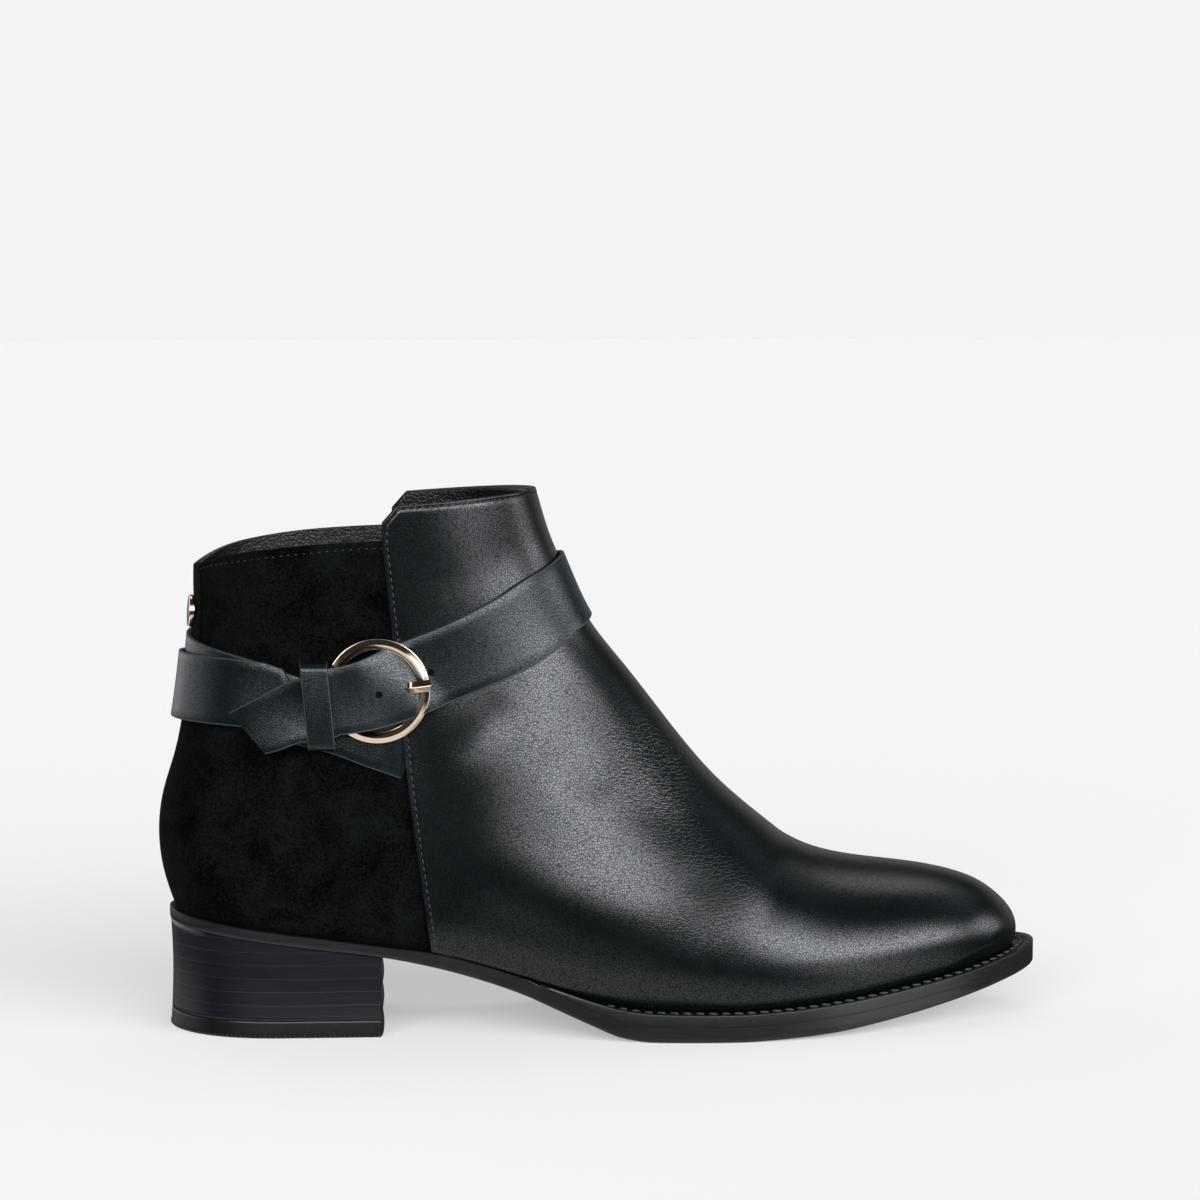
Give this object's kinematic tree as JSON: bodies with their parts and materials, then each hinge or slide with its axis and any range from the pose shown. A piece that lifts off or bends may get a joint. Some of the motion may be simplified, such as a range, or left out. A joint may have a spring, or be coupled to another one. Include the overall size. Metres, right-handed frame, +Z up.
{
  "type": "ankle boot",
  "caption": "Right ankle boot with a blue-black leather vamp, black suede quarter, wrapped strap with a round gold buckle, stitched welt and stacked block heel",
  "frame": {"origin": "centre of the box's bottom, on the floor under the sole", "axes": "+X from heel to toe, +Y to the inner (medial) side of the foot, +Z up"},
  "size_m": [0.2742, 0.09, 0.1655],
  "materials": {
    "vamp_leather": "satin grain leather, blue-black; the quarter behind the seam is black suede",
    "insole_leather": "plain black lining leather",
    "welt_leather": "waxed edge with light grey stitches",
    "sole_leather": "waxed dark edge, matt tread",
    "heel_stack": "stacked layers, polished dark",
    "lift_rubber": "matt black rubber",
    "strap_leather": "semi-matt smooth strap leather",
    "gold_metal": "pale gold, polished"
  },
  "bodies": {
    "root": {"upper": "vamp_leather", "insole": "insole_leather", "welt": "welt_leather", "outsole": "sole_leather", "heel_block": "heel_stack", "top_lift": "lift_rubber", "wrap_strap": "strap_leather", "buckle_strap": "strap_leather", "keeper": "strap_leather", "buckle_ring": "gold_metal", "buckle_prong": "gold_metal", "back_stud": "gold_metal"}
  },
  "joints": []
}
